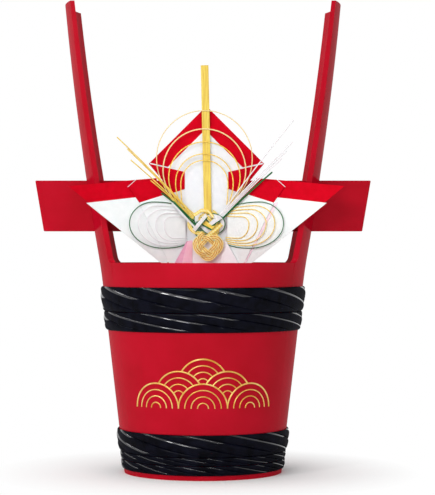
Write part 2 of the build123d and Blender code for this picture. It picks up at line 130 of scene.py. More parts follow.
def new_material(name, roughness, specular=0.5, metallic=0.0):
    """A material that bends light as lacquer, wood and paper do."""
    material = bpy.data.materials.new(name)
    material.use_nodes = True
    tree = material.node_tree
    shader = tree.nodes["Principled BSDF"]
    shader.inputs["Roughness"].default_value = roughness
    shader.inputs["IOR"].default_value = typical_ior
    shader.inputs["Specular IOR Level"].default_value = specular
    shader.inputs["Metallic"].default_value = metallic
    return material, tree, shader


print("a 5 mm pattern has a scale of", features_of(5))

# %% [markdown]
# Red urushi lacquer is many thin coats over wood, rubbed down and polished. It is one deep colour with a clear
# gloss, and only a faint waviness, a few millimetres across, breaks up its reflections.

# %% Red lacquer
red_lacquer, tree, shader = new_material("urushi_red_lacquer", roughness=0.5, specular=0.0)
shader.inputs["Coat Weight"].default_value = 0.13
shader.inputs["Coat Roughness"].default_value = 0.14
place = add(tree, "ShaderNodeTexCoord")
coats = add(tree, "ShaderNodeTexNoise", {"Scale": features_of(45), "Detail": 2.0}, Vector=(place, "Object"))
tones = add(tree, "ShaderNodeValToRGB", {"stops": ((0.35, "#AB091D"), (0.65, "#B50B23"))}, Fac=(coats, "Fac"))
waves = add(tree, "ShaderNodeTexNoise", {"Scale": features_of(5), "Detail": 1.0}, Vector=(place, "Object"))
bump = add(tree, "ShaderNodeBump", {"Strength": 0.3, "Distance": 0.02 * millimetre}, Height=(waves, "Fac"))
link(tree, shader, Base_Color=(tones, "Color"), Normal=(bump, "Normal"))
print("lacquer:", red_lacquer.name)

# %% [markdown]
# The hoops are split bamboo twisted round the cask and lacquered black. On the flat of a strip the lacquer is left
# satin, and the bamboo's fibres are just visible. On a strip's raised shoulder hands have polished it to a full
# gloss, and light runs along it as a fine bright line, so the shoulders get a lacquer of their own.

# %% Black lacquer
urushi_ior = 1.7


def black_urushi(name, gloss, gloss_roughness):
    lacquer, tree, shader = new_material(name, roughness=0.5, specular=0.0)
    shader.inputs["Coat Weight"].default_value = gloss
    shader.inputs["Coat Roughness"].default_value = gloss_roughness
    shader.inputs["Coat IOR"].default_value = urushi_ior
    place = add(tree, "ShaderNodeTexCoord")
    fibre = add(tree, "ShaderNodeTexNoise", {"Scale": features_of(9), "Detail": 3.0}, Vector=(place, "Object"))
    tones = add(tree, "ShaderNodeValToRGB", {"stops": ((0.35, "#030309"), (0.65, "#0B0C18"))}, Fac=(fibre, "Fac"))
    bump = add(tree, "ShaderNodeBump", {"Strength": 0.15, "Distance": 0.02 * millimetre}, Height=(fibre, "Fac"))
    link(tree, shader, Base_Color=(tones, "Color"), Normal=(bump, "Normal"))
    return lacquer


black_lacquer = black_urushi("satin_black_urushi_on_bamboo", gloss=0.06, gloss_roughness=0.2)
polished_lacquer = black_urushi("polished_black_urushi_on_bamboo", gloss=1.0, gloss_roughness=0.12)
print("lacquers:", black_lacquer.name, polished_lacquer.name)

# %% [markdown]
# The bung is left as bare cedar, because lacquer would be torn off each time it is pulled. Cedar has straight grain
# with a dark line every two or three millimetres, where each year's growth ended.

# %% Bare cedar and bamboo
bare_cedar, tree, shader = new_material("bare_cedar", roughness=0.62)
place = add(tree, "ShaderNodeTexCoord")
grain = {"Scale": bands_of(2.6), "Distortion": 2.5, "Detail": 2.0}
growth = add(tree, "ShaderNodeTexWave", grain, Vector=(place, "Object"))
tones = add(tree, "ShaderNodeValToRGB", {"stops": ((0.1, "#B98A5A"), (0.8, "#D9B384"))}, Fac=(growth, "Fac"))
bump = add(tree, "ShaderNodeBump", {"Strength": 0.5, "Distance": 0.06 * millimetre}, Height=(growth, "Fac"))
link(tree, shader, Base_Color=(tones, "Color"), Normal=(bump, "Normal"))

split_bamboo, tree, shader = new_material("split_bamboo", roughness=0.5)
place = add(tree, "ShaderNodeTexCoord")
fibre = add(tree, "ShaderNodeTexNoise", {"Scale": features_of(1.2), "Detail": 2.0}, Vector=(place, "Object"))
tones = add(tree, "ShaderNodeValToRGB", {"stops": ((0.35, "#B99A5C"), (0.65, "#D8BE82"))}, Fac=(fibre, "Fac"))
link(tree, shader, Base_Color=(tones, "Color"))
print("woods:", bare_cedar.name, split_bamboo.name)

# %% [markdown]
# The papers are washi: long mulberry fibres, felted into a soft matt sheet. Dyed or white, the fibres show as a very
# faint cloudiness and a slight roughness to the touch, so one function makes all of the papers. The wings get a
# lighter copy of the white paper, which paints out the shade that falls on them.

# %% Washi papers


def washi(name, dark, light):
    paper, tree, shader = new_material(name, roughness=0.75, specular=0.06)
    place = add(tree, "ShaderNodeTexCoord")
    felt = add(tree, "ShaderNodeTexNoise", {"Scale": features_of(6), "Detail": 5.0}, Vector=(place, "Object"))
    tones = add(tree, "ShaderNodeValToRGB", {"stops": ((0.35, dark), (0.65, light))}, Fac=(felt, "Fac"))
    fibre = add(tree, "ShaderNodeTexNoise", {"Scale": features_of(0.8), "Detail": 2.0}, Vector=(place, "Object"))
    bump = add(tree, "ShaderNodeBump", {"Strength": 0.4, "Distance": 0.04 * millimetre}, Height=(fibre, "Fac"))
    link(tree, shader, Base_Color=(tones, "Color"), Normal=(bump, "Normal"))
    return paper


red_washi = washi("red_dyed_washi", "#C60018", "#D0001D")
white_washi = washi("white_washi", "#E7ECF2", "#EDF1F6")
# A lighter copy of the white paper for the wings: painted light, which lifts the shade that falls on them.
white_washi_painted_lighter = washi("white_washi_painted_lighter", "#EEF4F4", "#F3F8F8")
pink_washi = washi("pink_dyed_washi", "#FBC0D6", "#FFD0E0")
# A darker copy of the pink paper: painted shade, where the left tail shows folded under.
fold_shade_pink_washi = washi("fold_shade_pink_washi", "#E8A4C2", "#F2B6D0")
# A pale pink for the slip that paints the shade of the crease on the right wing.
crease_shade_pink_washi = washi("crease_shade_pink_washi", "#F8DAE8", "#FBE6F0")
faint_pink_washi = washi("faint_pink_washi", "#F8F4FA", "#FCF9FD")
print("papers:", red_washi.name, white_washi.name, white_washi_painted_lighter.name, pink_washi.name)

# %% [markdown]
# The upright strip is paper faced with gold foil. Foil is rolled, so its streaks run along the strip.

# %% Gold foil paper
gold_foil, tree, shader = new_material("gold_foil_paper", roughness=0.45, metallic=0.1)
place = add(tree, "ShaderNodeTexCoord")
along = add(tree, "ShaderNodeMapping", {"Scale": (1.0, 1.0, 0.08)}, Vector=(place, "Object"))
streak = add(tree, "ShaderNodeTexNoise", {"Scale": features_of(1.6), "Detail": 4.0}, Vector=(along, "Vector"))
tones = add(tree, "ShaderNodeValToRGB", {"stops": ((0.3, "#D3AC3A"), (0.7, "#EDD75E"))}, Fac=(streak, "Fac"))
bump = add(tree, "ShaderNodeBump", {"Strength": 0.4, "Distance": 0.03 * millimetre}, Height=(streak, "Fac"))
link(tree, shader, Base_Color=(tones, "Color"), Normal=(bump, "Normal"))
print("foil:", gold_foil.name)

# %% [markdown]
# The gold drawing on the cask is gold powder, sprinkled on lacquer lines while they are wet. The grains lie unevenly,
# so the line is metal with slow changes of tone and a soft shine.

# %% Sprinkled gold
sprinkled_gold, tree, shader = new_material("sprinkled_gold_on_lacquer", roughness=0.38, metallic=0.6)
place = add(tree, "ShaderNodeTexCoord")
powder = add(tree, "ShaderNodeTexNoise", {"Scale": features_of(14), "Detail": 4.0}, Vector=(place, "Object"))
tones = add(tree, "ShaderNodeValToRGB", {"stops": ((0.35, "#D9A23C"), (0.65, "#F6DC86"))}, Fac=(powder, "Fac"))
grains = add(tree, "ShaderNodeTexNoise", {"Scale": features_of(1.0), "Detail": 1.0}, Vector=(place, "Object"))
bump = add(tree, "ShaderNodeBump", {"Strength": 0.3, "Distance": 0.05 * millimetre}, Height=(grains, "Fac"))
link(tree, shader, Base_Color=(tones, "Color"), Normal=(bump, "Normal"))
print("gold:", sprinkled_gold.name)

# %% [markdown]
# Mizuhiki is paper twisted into a stiff cord, then wound with a narrow strip of coloured paper or foil. The winding
# leaves fine slanting lines. They are about half a millimetre apart, too fine for this picture, so they are drawn
# two and a half millimetres apart, and faintly.

# %% Paper cords
foil_shine = 0.05


def wound_cord(name, dark, light, metallic=0.0):
    cord, tree, shader = new_material(name, roughness=0.42, specular=0.22, metallic=metallic)
    place = add(tree, "ShaderNodeTexCoord")
    turned = add(tree, "ShaderNodeMapping", {"Rotation": (0.6, 0.5, 0.4)}, Vector=(place, "Object"))
    winding = add(tree, "ShaderNodeTexWave", {"Scale": bands_of(2.5), "Distortion": 0.5}, Vector=(turned, "Vector"))
    tones = add(tree, "ShaderNodeValToRGB", {"stops": ((0.0, dark), (1.0, light))}, Fac=(winding, "Fac"))
    bump = add(tree, "ShaderNodeBump", {"Strength": 0.08, "Distance": 0.03 * millimetre}, Height=(winding, "Fac"))
    link(tree, shader, Base_Color=(tones, "Color"), Normal=(bump, "Normal"))
    return cord


gold_cord = wound_cord("gold_foil_cord", "#EDC74C", "#F9DE70", foil_shine)
pale_gold_cord = wound_cord("pale_gold_foil_cord", "#F1D997", "#F8E4AC", foil_shine)
white_cord = wound_cord("white_paper_cord", "#F3F3F6", "#F7F7F9")
# A darker and a lighter copy of the gold cord: painted shade and painted highlight, for the lines between the strands
# of the knots.
shade_gold_cord = wound_cord("gold_foil_cord_painted_shade", "#CA8A30", "#E2A644", foil_shine)
highlight_gold_cord = wound_cord("gold_foil_cord_painted_highlight", "#FFEA86", "#FFF5BC")
green_cord = wound_cord("green_paper_cord", "#005C2C", "#00743C")
print("cords:", gold_cord.name, pale_gold_cord.name, white_cord.name, green_cord.name)

# %% [markdown]
# The wooden pieces have the right shape already, so they only need their finish. The record of the
# frame names a finish for each piece.

# %% Finishes for the wooden pieces
wood_finishes = {
    "red_lacquer": red_lacquer,
    "black_lacquer": black_lacquer,
    "bare_cedar": bare_cedar,
    "bamboo": split_bamboo,
}
finished = 0
for row in frame["record"]["subparts"]:
    if row["material_slot"] in wood_finishes:
        node = nodes[row["node"]]
        node.data.materials.clear()
        node.data.materials.append(wood_finishes[row["material_slot"]])
        finished += 1
print("wooden pieces finished:", finished)

# %% [markdown]
# Each hoop is a bundle of bamboo strips twisted round the cask. A strip's upper edge is crisp and overlaps the next
# strip, so light runs along it as a fine line. A grid is wrapped round the cask for this: its columns follow the
# strips, which keeps the edges sharp, and its rows follow the hoop's rounded section.

# %% Twisted hoops
side_slope = 0.115
base_radius = 73.0
strip_section = (
    (0.0, 0.0), (0.03, 0.35), (0.09, 0.58), (0.25, 0.8), (0.45, 0.93), (0.6, 0.98), (0.68, 1.0),
    (0.74, 0.985), (0.79, 0.94), (0.84, 0.85), (0.885, 0.7), (0.925, 0.5), (0.96, 0.25),
)
hoop_rows = 28
hoop_gap, hoop_wall = 0.15, 0.6
edge_share, roundness = 0.3, 2.8
valley_share = 0.55
shoulder = range(8, 12)
wear_start, wear_change, wear_turn = 0.42, 0.35, 2.4


def twisted_hoop(node, swell, strips, turn):
    """Wraps a grid round the cask, whose strips turn by these degrees over the hoop's width."""
    columns = strips * len(strip_section)
    low, high = (corner[2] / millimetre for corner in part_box(node))
    bpy.ops.object.select_all(action="DESELECT")
    bpy.ops.mesh.primitive_grid_add(x_subdivisions=columns, y_subdivisions=hoop_rows, size=2)
    hoop = bpy.context.object
    hoop.name = f"{node}_strips"
    for lacquer in (black_lacquer, polished_lacquer):
        hoop.data.materials.append(lacquer)
    for face in hoop.data.polygons:
        strip, step = divmod(math.floor((face.center.x + 1) / 2 * columns), len(strip_section))
        worn_from = wear_start + wear_change * math.sin(wear_turn * strip)
        face.material_index = int(step in shoulder and (face.center.y + 1) / 2 > worn_from)
    for vertex in hoop.data.vertices:
        column = round((vertex.co.x + 1) / 2 * columns)
        level = (vertex.co.y + 1) / 2
        share, height = strip_section[column % len(strip_section)]
        strip = column // len(strip_section)
        angle = 2 * math.pi * (strip + share) / strips - math.radians(turn) * level
        z = low + (high - low) * level
        bulge = edge_share + (1 - edge_share) * (1 - abs(2 * level - 1) ** roundness) ** 0.5
        proud = swell * bulge * (valley_share + (1 - valley_share) * height)
        radius = base_radius + side_slope * z + hoop_gap + proud
        vertex.co = Vector((radius * math.sin(angle), -radius * math.cos(angle), z)) * millimetre
    bpy.ops.object.mode_set(mode="EDIT")
    bpy.ops.mesh.select_all(action="SELECT")
    bpy.ops.mesh.remove_doubles(threshold=0.01 * millimetre)
    bpy.ops.mesh.normals_make_consistent(inside=False)
    bpy.ops.object.mode_set(mode="OBJECT")
    solidify = hoop.modifiers.new("wall", "SOLIDIFY")
    solidify.thickness = hoop_wall * millimetre
    solidify.offset = -1
    bpy.ops.object.modifier_apply(modifier="wall")
    bpy.ops.object.shade_smooth_by_angle(angle=math.radians(60))
    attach(hoop, "cask")
    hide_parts(node)
    return hoop


# node, swell in millimetres, number of strips, turn in degrees
hoop_forms = (
    ("foot_hoop_thin", 1.9, 20, 32),
    ("lower_hoop_thin", 1.7, 20, 32),
    ("lower_hoop_wide", 3.0, 12, 68),
    ("upper_hoop_narrow", 2.6, 11, 66),
    ("upper_hoop_wide", 3.1, 10, 66),
)
for form in hoop_forms:
    hoop = twisted_hoop(*form)
    print(hoop.name, [round(v / millimetre, 1) for v in hoop.dimensions])

# %% [markdown]
# The ornament hangs on the crossbar. Its flat papers lie in layers in front of the bar, and two wings swing forwards
# from the edges of the middle panel, to pass in front of the horns. Two functions turn a distance across and a
# height, in millimetres from the middle of the crossbar, into a place in space.

# %% Where the ornament sits
ornament_shift = 3.2
crossbar_middle = 246.5
crossbar_front = 6.0
paper_thickness = 0.5
layer_step = 0.6
paper_gap = 0.1
panel_half_width = 20.0
root_depth = 7.9
wing_angle = math.radians(30.2)
tail_paper_angle = math.radians(20.0)


def front_place(across, up, depth):
    """A place in front of the crossbar, this deep in front of the cask's own middle."""
    return Vector((ornament_shift + across, -depth, crossbar_middle + up)) * millimetre


def leaning_place(side, inset, depth, angle, out, up, forwards):
    """A place on an upright plane that swings forwards by an angle, out along it, and forwards of it."""
    x = ornament_shift + side * (inset + out * math.cos(angle) - forwards * math.sin(angle))
    y = -depth - out * math.sin(angle) - forwards * math.cos(angle)
    return Vector((x, y, crossbar_middle + up)) * millimetre


def wing_place(side, out, up, forwards):
    return leaning_place(side, panel_half_width, root_depth, wing_angle, out, up, forwards)


print("root of the right wing:", tuple(round(v, 4) for v in wing_place(1, 0, 0, 0)))

# %% [markdown]
# A sheet of paper is a flat outline with a thickness. A filled circle with as many points as the sheet has corners
# is the quickest start: its points move to the corners, Solidify gives the thickness, and a small bevel takes the
# knife edge off. The rim takes the second material, because dyed paper is white where it is cut.

# %% Sheet helper
cut_edge_share = 0.2


def finish_piece(piece, material):
    piece.data.materials.clear()
    piece.data.materials.append(material)
    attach(piece, "cask")


def paper_sheet(name, corners, front, paper, thickness=paper_thickness, replaced=None, rim=white_washi):
    """A flat sheet with these corners, whose thickness grows to the front."""
    bpy.ops.object.select_all(action="DESELECT")
    bpy.ops.mesh.primitive_circle_add(vertices=len(corners), fill_type="NGON")
    sheet = bpy.context.object
    sheet.name = name
    for vertex, corner in zip(sheet.data.vertices, corners):
        vertex.co = corner
    sheet.data.update()
    if sheet.data.polygons[0].normal.dot(front) < 0:
        bpy.ops.object.mode_set(mode="EDIT")
        bpy.ops.mesh.select_all(action="SELECT")
        bpy.ops.mesh.flip_normals()
        bpy.ops.object.mode_set(mode="OBJECT")
    finish_piece(sheet, paper)
    sheet.data.materials.append(rim)
    solidify = sheet.modifiers.new("thickness", "SOLIDIFY")
    solidify.thickness = thickness * millimetre
    solidify.offset = 1
    solidify.material_offset_rim = 1
    bevel = sheet.modifiers.new("cut_edge", "BEVEL")
    bevel.width = thickness * millimetre * cut_edge_share
    bevel.segments = 1
    for modifier in ("thickness", "cut_edge"):
        bpy.ops.object.modifier_apply(modifier=modifier)
    if replaced:
        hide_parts(replaced)
    return sheet


front = Vector((0, -1, 0))
print("papers are", paper_thickness, "mm thick and lie", layer_step, "mm apart")

# %% [markdown]
# Three layers lie flat on the crossbar: a red square on its corner, a smaller white square, and a white panel with
# two red flaps beside it.

# %% Flat papers
diamond_half, diamond_height = 53.5, 39.0
kite_half, kite_height, kite_shift = 40.0, 30.4, -1.3
panel_top, papers_bottom = 33.0, -58.0
flap_inner_top, flap_inner_bottom = 31.5, 15.5
flap_tip = (31.0, 12.0)
panel_ear = (22.0, -3.0)
layers = [crossbar_front + paper_gap + number * layer_step for number in range(3)]


def square_on_corner(half, height, shift, depth):
    corners = ((half, 0), (0, half), (-half, 0), (0, -half))
    return [front_place(shift + across, height + up, depth) for across, up in corners]


red_square = square_on_corner(diamond_half, diamond_height, 0, layers[0])
paper_sheet("red_diamond", red_square, front, red_washi, replaced="diamond_paper")
white_square = square_on_corner(kite_half, kite_height, kite_shift, layers[1])
paper_sheet("white_kite", white_square, front, white_washi, replaced="kite_paper")

right_side = (
    (panel_half_width, panel_top),
    (panel_half_width, flap_inner_bottom - paper_gap),
    (flap_tip[0], flap_tip[1] - paper_gap),
    panel_ear,
    (panel_half_width, panel_ear[1]),
    (panel_half_width, papers_bottom),
)
outline = list(right_side) + [(-across, up) for across, up in reversed(right_side)]
panel = [front_place(across, up, layers[2]) for across, up in outline]
paper_sheet("white_panel", panel, front, white_washi, replaced="centre_panel")
print("flat papers at depths of", [round(depth, 2) for depth in layers], "mm")

# %% [markdown]
# Each red flap is backed with white, and the backing shows as a fine white line along the flap's upper edge.

# %% Red flaps
white_line = 0.9
overlap = 1.0
slip_thickness, slip_step = 0.06, 0.08
for side_name, side in (("left", -1), ("right", 1)):
    flap = (
        (panel_half_width + paper_gap, flap_inner_top),
        (diamond_half, diamond_height),
        flap_tip,
        (panel_half_width + paper_gap, flap_inner_bottom),
    )
    corners = [front_place(side * across, up, layers[2]) for across, up in flap]
    paper_sheet(f"red_flap_{side_name}", corners, front, red_washi, replaced=f"flap_paper_{side_name}")
    backing = (
        (panel_half_width + paper_gap, flap_inner_top + white_line),
        (diamond_half - overlap, diamond_height + white_line),
        (diamond_half - 2 * overlap, diamond_height - 2 * overlap),
        (panel_half_width + paper_gap, flap_inner_top - overlap),
    )
    corners = [front_place(side * across, up, layers[2] - slip_step) for across, up in backing]
    paper_sheet(f"flap_backing_{side_name}", corners, front, white_washi, thickness=slip_thickness)
print("flaps made, with a white line of", white_line, "mm")

# %% [markdown]
# The wings are four layers each, red behind white, twice. The linings show as red borders above the white. The
# inner lining stops short behind the lower edge of its white paper, so that no red shows there.

# %% Wings
wing_tip, wing_top, wing_crease, wing_foot = (119.5, 16.0), (51.5, 23.0), (30.0, 25.0), (18.0, papers_bottom)
outer_border, outer_border_root = (102.0, 1.2), (30.0, 9.5)
inner_corner, inner_notch, inner_top, inner_dip = (59.7, 16.3), (49.5, 1.9), (35.0, 21.8), (23.0, 9.7)
inner_root, inner_foot, root_foot = (0.5, -5.0), (15.0, papers_bottom), (0.5, papers_bottom)
hidden_notch, hidden_foot = (48.0, 1.6), (13.0, papers_bottom + 0.5)
# The white wing papers are the lighter copy, painted to lift the shade on them.
wing_layers = (
    ("outer_wing_lining", red_washi, (wing_tip, wing_top, wing_crease, wing_foot)),
    ("outer_wing_paper", white_washi_painted_lighter, (outer_border, outer_border_root, wing_foot)),
    (
        "inner_wing_lining",
        red_washi,
        (inner_top, wing_top, inner_corner, hidden_notch, hidden_foot, root_foot, inner_root, inner_dip),
    ),
    ("inner_wing_paper", white_washi_painted_lighter, (inner_dip, inner_notch, inner_foot, root_foot, inner_root)),
)
for side_name, side in (("left", -1), ("right", 1)):
    wing_front = wing_place(side, 0, 0, 1) - wing_place(side, 0, 0, 0)
    for layer, (name, paper, outline) in enumerate(wing_layers):
        corners = [wing_place(side, out, up, layer * layer_step) for out, up in outline]
        node = f"{name}_{side_name}"
        paper_sheet(f"{name}_sheet_{side_name}", corners, wing_front, paper, replaced=node, rim=paper)
    slip = (
        wing_top,
        inner_corner,
        (inner_corner[0] + white_line, inner_corner[1]),
        (wing_top[0] + white_line, wing_top[1]),
    )
    corners = [wing_place(side, out, up, 2 * layer_step - slip_step) for out, up in slip]
    paper_sheet(f"white_slip_{side_name}", corners, wing_front, white_washi, thickness=slip_thickness)
print("wings made, tip at", tuple(round(v, 4) for v in wing_place(1, *wing_tip, 0)))

# %% [markdown]
# Two papers hang below the knot and lean out beside it, in front of the wings: a pink one on the left, whose part
# beside the lighter fold over it is painted darker as the shade of the paper folded under, and a nearly white one on
# the right. A flat fold joins them behind the knot, and a pale pink slip along the lower edge of the right wing's
# white paper paints the shade of the crease there.

# %% Pink tail papers
tail_outline = ((3.5, -32.0), (8.9, -32.8), (23.7, papers_bottom), (3.5, papers_bottom))
tail_gap, tail_inset = 0.2, 10.0
tail_depth = root_depth + 3 * layer_step + tail_gap
fold_thickness, fold_forwards = 0.3, 0.7
for side_name, side in (("left", -1), ("right", 1)):
    lean = (side, tail_inset, tail_depth, tail_paper_angle)
    corners = [leaning_place(*lean, out, up, 0) for out, up in tail_outline]
    # The left tail takes the darker pink, painted as the shade of the paper folded under.
    paper = fold_shade_pink_washi if side < 0 else faint_pink_washi
    paper_sheet(f"pink_tail_{side_name}", corners, front, paper, replaced=f"tail_paper_{side_name}")
front_fold = ((3.5, -32.0), (8.4, -33.4), (15.0, papers_bottom), (3.5, papers_bottom))
left_lean = (-1, tail_inset, tail_depth, tail_paper_angle)
corners = [leaning_place(*left_lean, out, up, fold_forwards) for out, up in front_fold]
paper_sheet("pink_front_fold", corners, front, pink_washi, thickness=fold_thickness)
# A pale pink slip along the lower edge of the right wing's white paper: painted shade of the crease there.
crease_shade_foot, crease_shade_top = (16.4, papers_bottom), (53.1, 2.5)
pink_crease_shade = (inner_notch, inner_foot, crease_shade_foot, crease_shade_top)
corners = [wing_place(1, out, up, 2 * layer_step + paper_gap) for out, up in pink_crease_shade]
wing_front = wing_place(1, 0, 0, 1) - wing_place(1, 0, 0, 0)
paper_sheet("pink_crease_shade_right", corners, wing_front, crease_shade_pink_washi, thickness=fold_thickness)
middle_half, middle_top, middle_depth = 13.1, -33.0, 11.3
middle_fold = (
    (-middle_half, papers_bottom),
    (middle_half, papers_bottom),
    (middle_half, middle_top),
    (-middle_half, middle_top),
)
corners = [front_place(across, up, middle_depth) for across, up in middle_fold]
paper_sheet("pink_middle_fold", corners, front, faint_pink_washi, thickness=fold_thickness)
print("pink papers made")

# %% [markdown]
# The gold strip stands up behind the knot. It is a stack of thin folds, so its long edges are rounded with a bevel,
# and it leans a little to one side.

# %% Gold strip
strip_width, strip_thickness, strip_bottom, strip_top = 7.1, 1.0, -18.0, 130.0
strip_shift, strip_tilt, strip_back = 1.5, math.radians(1.25), 8.8
fold_radius = 0.35
bpy.ops.object.select_all(action="DESELECT")
bpy.ops.mesh.primitive_cube_add(size=1)
strip = bpy.context.object
strip.name = "gold_strip"
strip.scale = (strip_width * millimetre, strip_thickness * millimetre, (strip_top - strip_bottom) * millimetre)
strip.rotation_euler = (0, -strip_tilt, 0)
half_length = (strip_top - strip_bottom) / 2
strip.location = front_place(
    strip_shift - half_length * math.sin(strip_tilt),
    strip_bottom + half_length * math.cos(strip_tilt),
    strip_back + strip_thickness / 2,
)
bpy.ops.object.transform_apply(location=True, rotation=True, scale=True)
bevel = strip.modifiers.new("rounded_folds", "BEVEL")
bevel.width = fold_radius * millimetre
bevel.segments = 2
bpy.ops.object.modifier_apply(modifier="rounded_folds")
finish_piece(strip, gold_foil)
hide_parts("noshi_strip")
print("strip:", [round(v / millimetre, 1) for v in strip.dimensions], "mm")

# %% [markdown]
# The cords are bent by hand while damp and then keep their shape, like wire. A Bezier curve with a round bevel suits
# them: its points sit where the cord turns, and its handles say how roundly. Converting it gives a mesh tube.

# %% Cord helper
cord_radius = 0.55
cord_count = 5
cord_pitch = 1.6
cord_facets = 3
oval = 0.5523


def bent_cord(name, points, material, radius=cord_radius, smoothness=14, closed=False):
    """A cord through points, each with its handle before and its handle after."""
    curve = bpy.data.curves.new(name, "CURVE")
    curve.dimensions = "3D"
    curve.bevel_depth = radius * millimetre
    curve.bevel_resolution = cord_facets
    curve.resolution_u = smoothness
    curve.use_fill_caps = True
    spline = curve.splines.new("BEZIER")
    spline.bezier_points.add(len(points) - 1)
    spline.use_cyclic_u = closed
    for bend, (before, middle, after) in zip(spline.bezier_points, points):
        bend.handle_left_type = bend.handle_right_type = "FREE"
        bend.handle_left, bend.co, bend.handle_right = before, middle, after
    cord = bpy.data.objects.new(name, curve)
    scene.collection.objects.link(cord)
    bpy.ops.object.select_all(action="DESELECT")
    cord.select_set(True)
    bpy.context.view_layer.objects.active = cord
    bpy.ops.object.convert(target="MESH")
    bpy.ops.object.shade_smooth()
    finish_piece(bpy.context.object, material)
    return bpy.context.object


def joined(name, cords, *replaced):
    """Makes one piece of several cords."""
    bpy.ops.object.select_all(action="DESELECT")
    for cord in cords:
        cord.select_set(True)
    bpy.context.view_layer.objects.active = cords[0]
    if len(cords) > 1:
        bpy.ops.object.join()
    bpy.context.object.name = name
    if replaced:
        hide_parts(*replaced)
    return bpy.context.object


print("cords are", 2 * cord_radius, "mm thick")

# %% [markdown]
# Five loops lie inside each other on each wing. Each cord is green, white or gold on its own half: green is the
# outermost loop on both sides, and the others are white on the left and gold on the right.

# %% Loops
loop_offset = 4 * layer_step + cord_radius
loop_radius = 0.42
loop_root, loop_start, loop_end = -1.0, -3.0, -35.5
loop_crest, crest_step = Vector((33.9, 3.0)), Vector((4.6, 3.3))
loop_reach, reach_step = Vector((59.4, -17.0)), Vector((8.95, 0.0))
loop_trough, trough_step = Vector((24.8, -39.2)), Vector((3.0, -2.3))
leave, rise, ease = 0.35, 0.75, 0.4
for side_name, side, inner_cord in (("left", -1, white_cord), ("right", 1, gold_cord)):
    loops = []
    for number in range(cord_count):
        start = Vector((loop_root, loop_start - number * cord_pitch))
        crest = loop_crest - number * crest_step
        reach = loop_reach - number * reach_step
        trough = loop_trough - number * trough_step
        end = Vector((loop_root, loop_end + number * cord_pitch))
        lift, dip = crest.y - reach.y, reach.y - trough.y
        turns = (
            (start, start, start + Vector((leave * (crest.x - start.x), rise * (crest.y - start.y)))),
            (
                crest - Vector((ease * (crest.x - start.x), 0)),
                crest,
                crest + Vector((oval * (reach.x - crest.x), 0)),
            ),
            (reach + Vector((0, oval * lift)), reach, reach - Vector((0, oval * dip))),
            (
                trough + Vector((oval * (reach.x - trough.x), 0)),
                trough,
                trough - Vector((ease * (trough.x - end.x), 0)),
            ),
            (end + Vector((leave * (trough.x - end.x), rise * (trough.y - end.y))), end, end),
        )
        points = [[wing_place(side, spot.x, spot.y, loop_offset) for spot in turn] for turn in turns]
        cord, slot = (green_cord, "green_cord") if number == 0 else (inner_cord, "gold_cord")
        loops.append(bent_cord(f"{side_name}_loop_{number}", points, cord, loop_radius))
    joined(f"{side_name}_loop_cords", loops, f"{side_name}_loops")
print("loops made")

# %% [markdown]
# The ends of the cords fan out from the knot, nearly straight. They are gold on the left and white on the right,
# with one green cord lowest on both sides.

# %% Cord ends
tail_clearance = 0.3
tail_offset = loop_offset + 2 * cord_radius + tail_clearance
tail_pitch = 1.7
tail_bow, tip_run, root_run = 1.0, 0.67, 6.0
middle_cord = cord_count // 2
strand_pitch, strand_radius = 0.88, 0.41
knot_slant = 0.7
tail_radius, green_tail_radius = 0.52, 0.72
left_tips = ((72.8, 60.8), (62.4, 50.5), (58.9, 40.6), (38.3, 22.5), (26.9, 11.2))
right_tips = ((70.1, 76.3), (69.3, 56.5), (63.0, 48.5), (58.2, 41.9), (48.5, 29.8))
left_cords = (gold_cord, gold_cord, gold_cord, gold_cord, green_cord)
right_cords = (white_cord, white_cord, white_cord, white_cord, green_cord)
knot_ends = {"left": (6.0, -21.0, 15.1), "right": (3.0, -18.5, 14.0)}
for side_name, side, tips, colours in (("left", -1, left_tips, left_cords), ("right", 1, right_tips, right_cords)):
    tails = []
    for number, (tip, cord) in enumerate(zip(tips, colours)):
        root_spot = Vector((loop_root, loop_start - number * tail_pitch))
        run = Vector(tip) - root_spot
        bow = Vector((-run.y, run.x)).normalized() * tail_bow
        tip_place = wing_place(side, *tip, tail_offset)
        root = wing_place(side, *root_spot, tail_offset)
        before_root = wing_place(side, *(root_spot + run / 3 + bow), tail_offset)
        after_tip = wing_place(side, *(root_spot + run * tip_run + bow), tail_offset)
        across, up, depth = knot_ends[side_name]
        beside = (number - middle_cord) * strand_pitch * knot_slant
        end = front_place(across + side * beside, up - beside, depth)
        points = (
            (tip_place, tip_place, after_tip),
            (before_root, root, root + (root - before_root).normalized() * root_run * millimetre),
            (end.lerp(root, 0.4), end, end),
        )
        slot, radius = ("green_cord", green_tail_radius) if cord is green_cord else ("gold_cord", tail_radius)
        tails.append(bent_cord(f"{side_name}_end_{number}", points, cord, radius))
    joined(f"{side_name}_cord_ends", tails, f"{side_name}_tails")
print("cord ends made")

# %% [markdown]
# Five gold arches stand inside each other over the knot. Each one rises from its foot, bulges out, and closes in a
# half circle. They lean back until the largest one rests on the gold strip.

